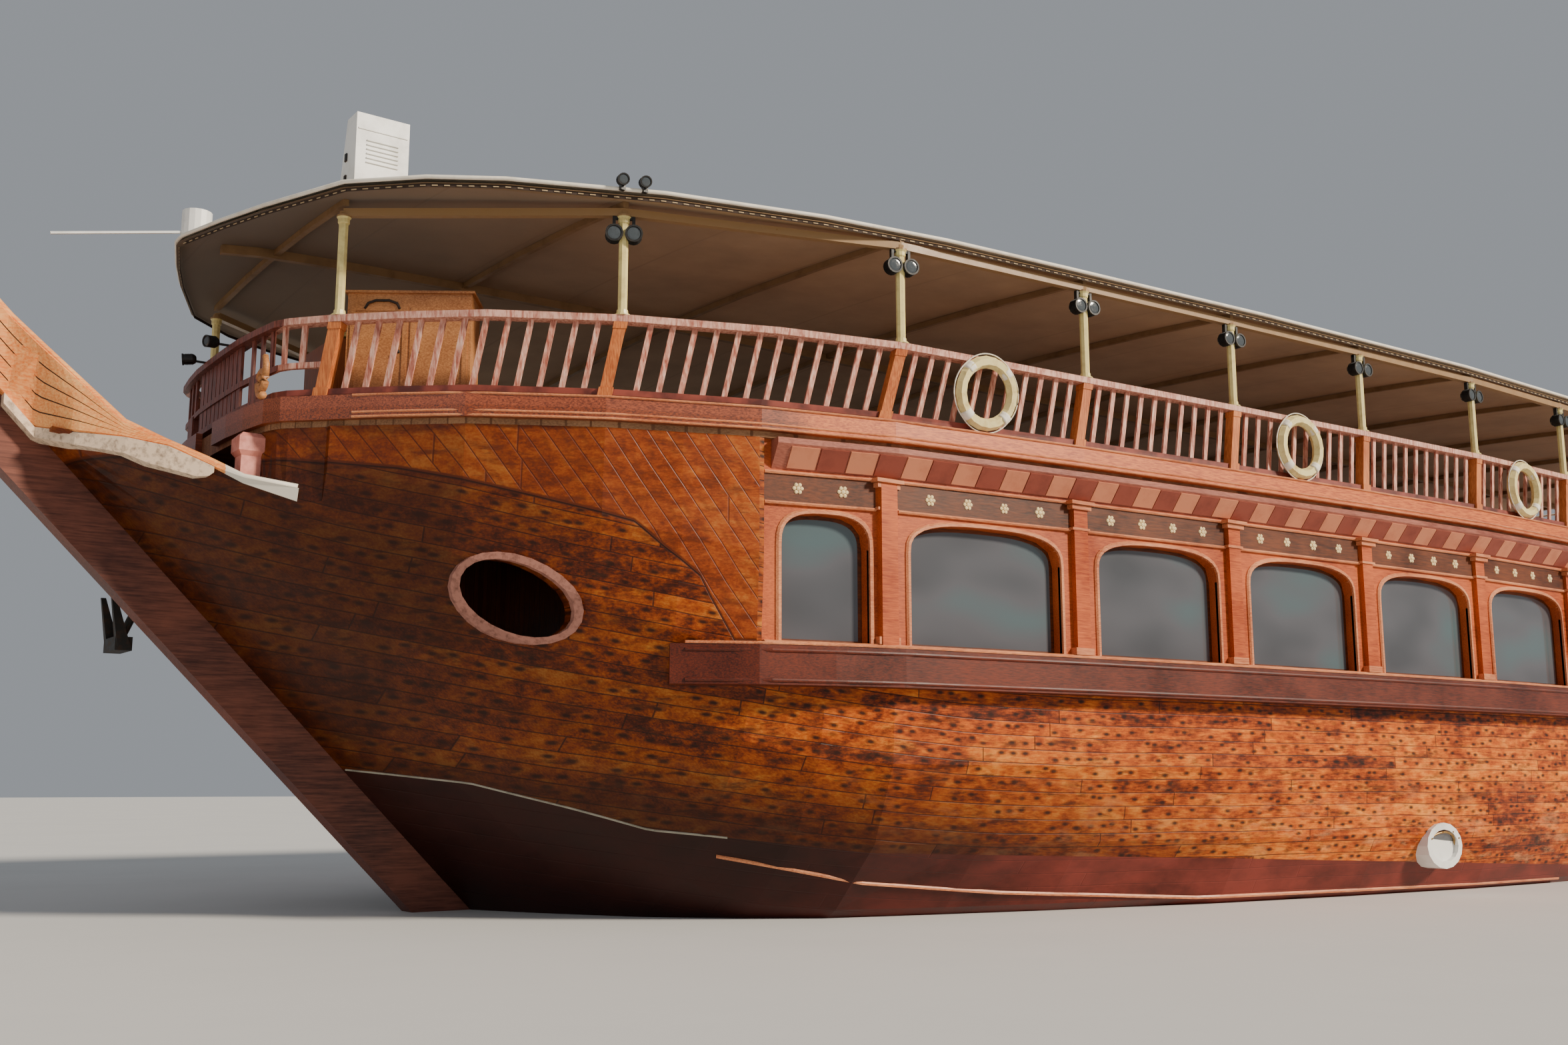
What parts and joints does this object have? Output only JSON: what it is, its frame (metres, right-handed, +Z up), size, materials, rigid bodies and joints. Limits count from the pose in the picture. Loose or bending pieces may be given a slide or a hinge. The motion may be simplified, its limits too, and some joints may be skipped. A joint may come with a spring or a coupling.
{
  "type": "wooden passenger dhow",
  "caption": "Wooden passenger dhow afloat: raked planked hull with keel, glazed saloon, railed upper deck under a canopy, and turning rudder, propeller, helm and aft doors.",
  "frame": {"origin": "on the waterline and the centreline, amidships", "axes": "+X towards the bow, +Y to port, +Z up"},
  "size_m": [35.409, 11.24, 10.61],
  "materials": {
    "hull_timber": "oiled and varnished planks, weathered",
    "prow_timber": "varnished planks, sun bleached",
    "stem_timber": "dark oiled timber",
    "bottom_paint": "matt red-brown bottom paint on timber",
    "guard_paint": "pale worn paint",
    "wale_timber": "dark red-brown varnish",
    "gallery_timber": "varnished joinery",
    "fascia_timber": "orange varnish",
    "cornice_paint": "painted pattern on timber",
    "saloon_glass": "clear tinted glazing",
    "deck_planks": "bare deck planks",
    "rail_timber": "faded pink-brown varnish",
    "frame_paint": "cream gloss paint",
    "canopy_cloth": "stretched canvas",
    "white_fibreglass": "white gloss paint",
    "ring_foam": "faded cream foam cover",
    "oval_paint": "worn pink-brown paint",
    "helm_timber": "varnished joinery",
    "bronze": "dull bronze",
    "iron": "black painted iron"
  },
  "bodies": {
    "root": {"hull": "hull_timber", "engine_hatch": "deck_planks", "engine": "iron", "keel": "bottom_paint", "stem_post": "stem_timber", "stern_post": "bottom_paint", "bow_planking_port": "hull_timber", "bow_planking_starboard": "hull_timber", "oval_ring_port": "oval_paint", "oval_ring_starboard": "oval_paint", "prow_bulwark_port": "prow_timber", "prow_bulwark_starboard": "prow_timber", "guard_strake_port": "guard_paint", "guard_strake_starboard": "guard_paint", "wale_port": "wale_timber", "wale_starboard": "wale_timber", "saloon_wall_port": "gallery_timber", "saloon_wall_starboard": "gallery_timber", "saloon_glass_port": "saloon_glass", "saloon_glass_starboard": "saloon_glass", "forward_bulkhead": "gallery_timber", "aft_wall": "gallery_timber", "stern_bulwark": "hull_timber", "upper_deck": "deck_planks", "fascia_port": "fascia_timber", "fascia_starboard": "fascia_timber", "cornice_port": "cornice_paint", "cornice_starboard": "cornice_paint", "side_rail_port": "rail_timber", "side_rail_starboard": "rail_timber", "bow_rail": "rail_timber", "aft_rail": "rail_timber", "canopy_frame_port": "frame_paint", "canopy_frame_starboard": "frame_paint", "canopy_beams": "frame_paint", "canopy": "canopy_cloth", "porthole_1_port": "white_fibreglass", "porthole_1_starboard": "white_fibreglass", "porthole_2_port": "white_fibreglass", "porthole_2_starboard": "white_fibreglass", "stern_tube": "bronze", "helm_console": "helm_timber", "deck_cabinet": "helm_timber", "ladder": "deck_planks", "life_ring_1_port": "ring_foam", "life_ring_1_starboard": "ring_foam", "life_ring_2_port": "ring_foam", "life_ring_2_starboard": "ring_foam", "life_ring_3_port": "ring_foam", "life_ring_3_starboard": "ring_foam", "roof_box": "white_fibreglass", "bow_lamp": "white_fibreglass", "bow_bitt_port": "rail_timber", "bow_bitt_starboard": "rail_timber", "anchor": "iron"},
    "rudder": {"rudder": "bottom_paint"},
    "propeller": {"propeller": "bronze"},
    "helm_wheel": {"helm_wheel": "helm_timber"},
    "door_port": {"door_port": "helm_timber"},
    "door_starboard": {"door_starboard": "helm_timber"}
  },
  "joints": [
    {"name": "rudder_turn", "type": "hinge", "parent": "root", "child": "rudder", "pos_m": [-16.93, 0, 0], "axis": [-0.3219, 0, 0.9468], "range_deg": [-35, 35]},
    {"name": "propeller_spin", "type": "hinge", "parent": "root", "child": "propeller", "pos_m": [-14.43, 0, -1.12], "axis": [1, 0, 0], "continuous": true},
    {"name": "helm_turn", "type": "hinge", "parent": "root", "child": "helm_wheel", "pos_m": [11.56, 0, 6.07], "axis": [1, 0, 0], "range_deg": [-525, 525]},
    {"name": "door_port_swing", "type": "hinge", "parent": "root", "child": "door_port", "pos_m": [-15.456, 0.806, 3.5], "axis": [0, 0, 1], "range_deg": [-100, 0]},
    {"name": "door_starboard_swing", "type": "hinge", "parent": "root", "child": "door_starboard", "pos_m": [-15.456, -0.806, 3.5], "axis": [0, 0, 1], "range_deg": [0, 100]}
  ],
  "couplings": [
    {"joint": "helm_turn", "follows": "rudder_turn", "ratio": 15}
  ]
}
